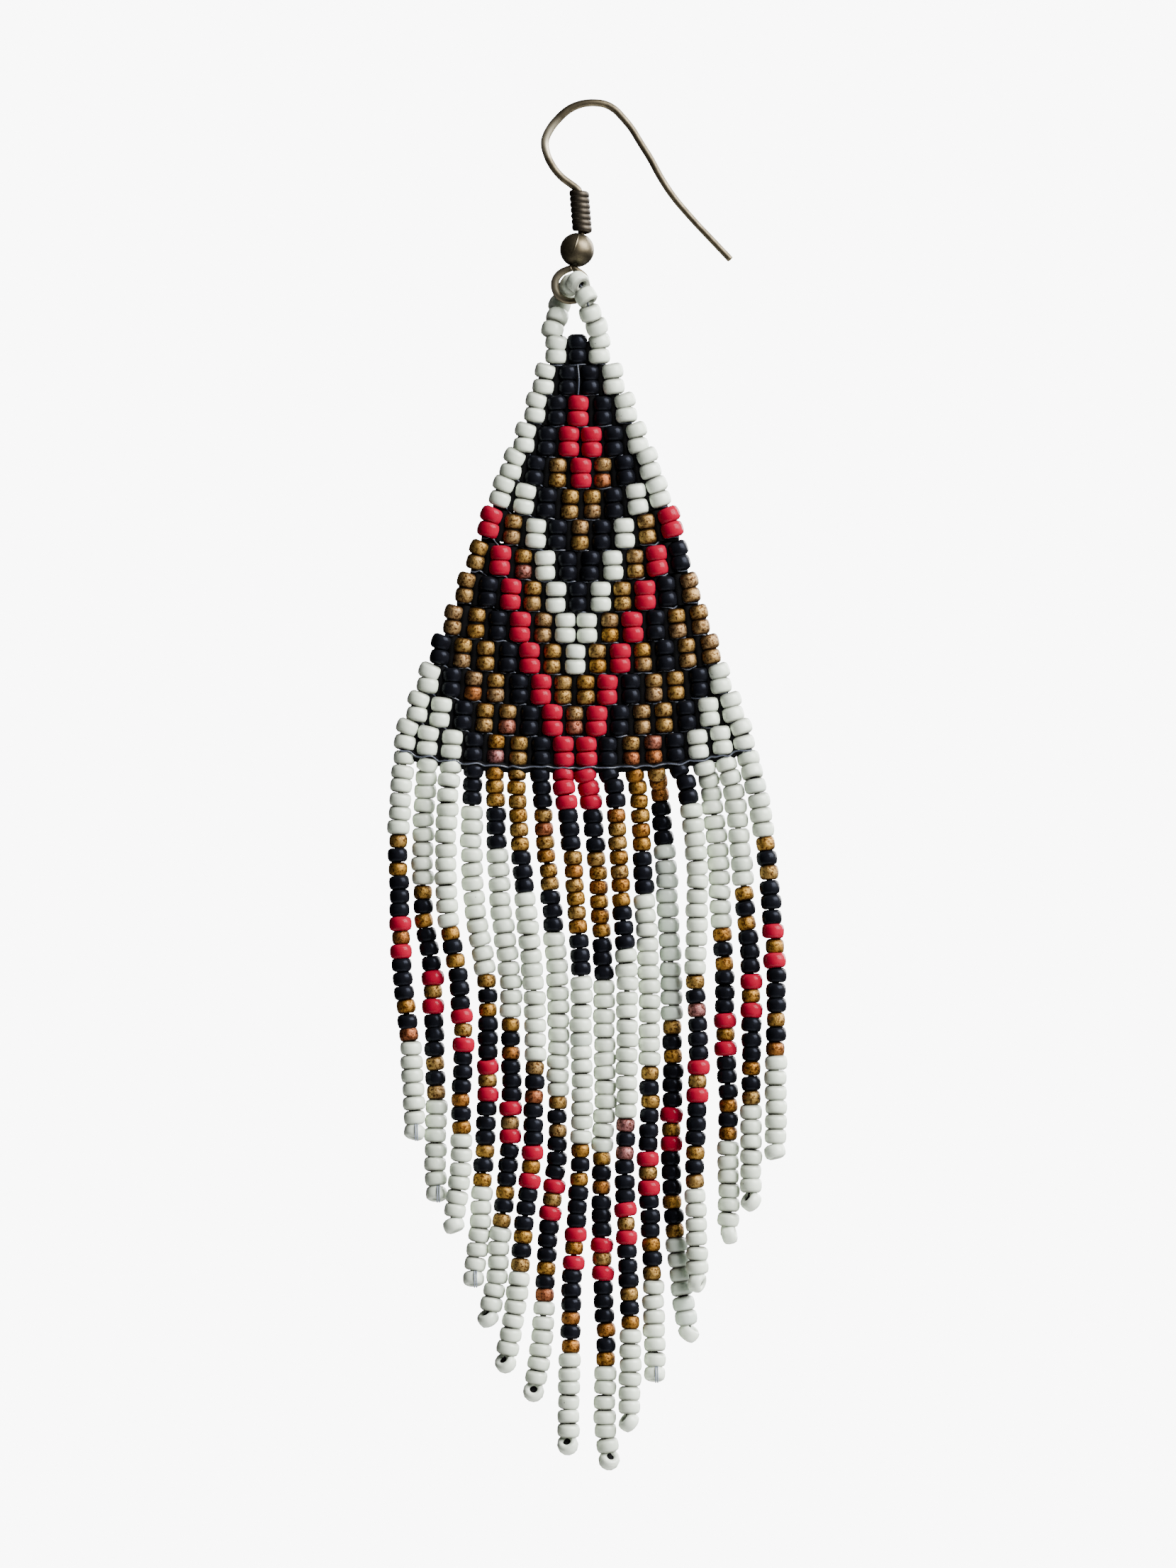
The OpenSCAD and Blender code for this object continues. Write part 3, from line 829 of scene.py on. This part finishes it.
string_tops = [
    6 * "W", 9 * "W", whites, "BBB" + whites, "GGGBBB" + whites, "GGGGGGBBB" + whites,
    "BBBGGGGGGBBB" + whites, "RRRBBBGGGGGGBBB" + whites, "RRRBBBGGGGGGBBB" + whites,
    "BBBGGGGGGGBBB" + whites, "GGGGGGBBB" + whites, "GGGBBB" + whites, "BBB" + whites, whites,
    9 * "W", 6 * "W",
]
string_foot = "GBGBBBRGRBBBGBG" + 7 * "W"

# The way each string's end bead faces: its hole runs sideways, up to the string, or towards the viewer
# where the y is large
end_axes = [
    (0.25, 0.3, 1), (0.05, 0.3, 1), (-0.35, 0.2, 0.9), (0, 0.3, 1), (-0.45, -0.35, 0.8), (-0.45, -0.7, 0.6),
    (0, -0.89, 0.45), (-0.18, -0.8, 0.58), (0.25, -0.75, 0.6), (-0.75, -0.25, 0.62), (0.05, 0.3, 1),
    (0.6, -0.2, 0.75), (0.88, -0.35, -0.3), (1, -0.15, 0.25), (-0.69, -0.42, 0.6), (-0.25, 0.2, 0.95),
]
end_size = 0.95
# The end beads' shade, past 1: no painted shade darkens their rims, which no bead touches
unshaded_end_shade = 1.5

# Strings whose thread leaves the end bead by its foot and comes back up over its face, doubled, as the
# depths and heights from the bead's middle of one pass, and how far aside each of the two lies
thread_over = (1, 2, 4, 11)
over_face = [(0.0, -0.72), (-0.62, -0.82), (-1.0, -0.6), (-1.12, 0.0), (-0.95, 0.6), (-0.5, 0.85)]
over_asides = (0.1, 0.3)
over_girth = 0.7

# On the others it goes round the back, as distances along the bead's hole and heights
round_back = [(0.0, 0.0), (0.7, 0.0), (0.78, 0.45), (0.68, 0.85), (0.42, 1.12)]

# Copper and rosy beads that stand out from the gold of their string, as {string: {bead: shade}}
odd_shades = {1: {20: 0.88}, 6: {23: 0.88}, 7: {4: 0.88, 38: 0.88}, 10: {25: 1.0, 27: 1.0}, 13: {17: 1.0}}

# The ivory beads of the string that hangs furthest back are painted darker and bluer, as its shadow
shadowed_string = 12
shadowed_string_shade = 0.1

# A string's length in beads counts the sideways end bead as half of one, and its filling thread
# stops short of that. That thread is drawn thick and painted near black, as the shade between the
# beads. The bead sizes vary and the beads lie a little askew.
end_share = 0.45
core_stop = 1.3
core_shade_girth = 3.6
string_width_play = 0.015
string_length_play = 0.012
string_bead_length = 1.005
string_axis_play = 0.055
string_play = 0.035
middling_share = 0.8


def at(route, reach, length):
    """Returns the point of the route at this length along it, and the way it runs there."""
    k = min(max(np.searchsorted(reach, length) - 1, 0), len(route) - 2)
    share = (length - reach[k]) / (reach[k + 1] - reach[k])
    return route[k] + share * (route[k + 1] - route[k]), unit(route[k + 1] - route[k])


for s in range(16):
    chance = np.random.default_rng(100 + s)
    middle = stack(row_count, s)[0]
    xs, (end_x, end_z) = strands[s]
    depth = strand_depth[s]
    top = middle + np.array([strand_shift[s], 0, -stack_h / 2 - bead_gap])
    hang = [(x, depth, z) for x, z in zip(xs, strand_heights)]
    route = smooth([top, top - [0, 0, bead_length / 2]] + hang + [(end_x, depth, end_z)], 8)
    reach = np.concatenate([[0], np.cumsum(np.linalg.norm(np.diff(route, axis=0), axis=1))])
    letters = string_tops[s] + string_foot
    pitch = reach[-1] / (len(letters) - end_share)
    beads = []
    for k, letter in enumerate(letters[:-1]):
        centre, runs = at(route, reach, (k + 0.5) * pitch)
        width, length = glass_size[letter]
        scale = width * chance.normal(1, string_width_play)
        axis = unit(runs + chance.normal(0, string_axis_play, 3))
        middling = chance.random() < middling_share
        shade = chance.uniform(0.25, 0.8) if middling else chance.uniform(0.15, 0.85)
        shade = odd_shades.get(s + 1, {}).get(k, shade)
        # Painted shadow on the string that hangs furthest back
        if s + 1 == shadowed_string and letter == "W":
            shade = shadowed_string_shade
        tall = length * chance.normal(string_bead_length, string_length_play) * pitch / bead_length
        beads.append((centre + chance.normal(0, string_play, 3), axis, letter, (scale, scale, tall), shade))
    end = route[-1]
    hole = unit(np.array(end_axes[s], float))
    beads.append((end, hole, letters[-1], (end_size, end_size, 1.0), unshaded_end_shade))
    threads = [(route[::2], core_shade_girth), ([end - filled * hole, end + filled * hole], filling_shade_girth)]
    if s + 1 in thread_over:
        for aside in over_asides:
            threads.append((smooth([end + [aside, out, up] for out, up in over_face], 3), over_girth))
    else:
        back = math.copysign(1, hole[1])
        core = at(route, reach, (len(letters) - core_stop) * pitch)[0]
        wrap = [end + back * out * hole + [0, 0, up] for out, up in round_back] + [core]
        threads.append((smooth(wrap, 3), 1.0))
    strand = string_beads(f"string_{s + 1:02d}", beads, threads)
    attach(strand, "drop")
    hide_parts(f"fringe_{s + 1:02d}")
bpy.data.objects.remove(seed_bead)

# Stage: a pale floor under the hanging earring and a white backdrop, soft light from two windows at the
# right and one behind, and a long lens square to the front, as in the photograph.
floor_z = -0.6
floor_half = 0.5
work = bmesh.new()
work.faces.new([
    work.verts.new((floor_half * x, floor_half * y, floor_z)) for x, y in ((-1, -1), (1, -1), (1, 1), (-1, 1))
])
floor = mesh_object("floor", work, False)
paper, tree, shader = start_material("matt_white_paper", 0.0, 0.9)
shader.inputs["Base Color"].default_value = srgb("f2f2f0")
floor.data.materials.append(paper)

world = bpy.data.worlds.new("studio")
world.use_nodes = True
tree = world.node_tree
tree.nodes.clear()
room = add(tree, "ShaderNodeBackground", {"Color": srgb("ffffff"), "Strength": 0.06})
backdrop = add(tree, "ShaderNodeBackground", {"Color": srgb("ffffff"), "Strength": 9.0})
path = add(tree, "ShaderNodeLightPath")
seen = add(tree, "ShaderNodeMixShader", {
    0: path.outputs["Is Camera Ray"], 1: room.outputs[0], 2: backdrop.outputs[0],
})
add(tree, "ShaderNodeOutputWorld", {"Surface": seen.outputs[0]})
bpy.context.scene.world = world

target = Vector((-0.24, 0, -65.5)) * MM
for name, place, width, power in (
    ("window", (0.72, -0.5, 0.5), 0.75, 43.0),
    ("side_window", (1.05, -0.12, 0.42), 0.6, 11.0),
    ("back_window", (0.75, 0.85, 0.4), 0.8, 26.0),
):
    lamp = bpy.data.lights.new(name, "AREA")
    lamp.energy = power
    lamp.size = width
    light = bpy.data.objects.new(name, lamp)
    light.location = place
    light.rotation_euler = (target - Vector(place)).to_track_quat("-Z", "Y").to_euler()
    bpy.context.collection.objects.link(light)

view_distance = 0.9
frame_height = 151.5 * MM
lens = bpy.data.cameras.new("camera")
lens.sensor_width = 36.0
lens.lens = lens.sensor_width * view_distance / frame_height
lens.clip_start = 0.01
camera = bpy.data.objects.new("camera", lens)
camera.location = target + Vector((0, -view_distance, 0))
camera.rotation_euler = (math.radians(90), 0, 0)
bpy.context.collection.objects.link(camera)
bpy.context.scene.camera = camera
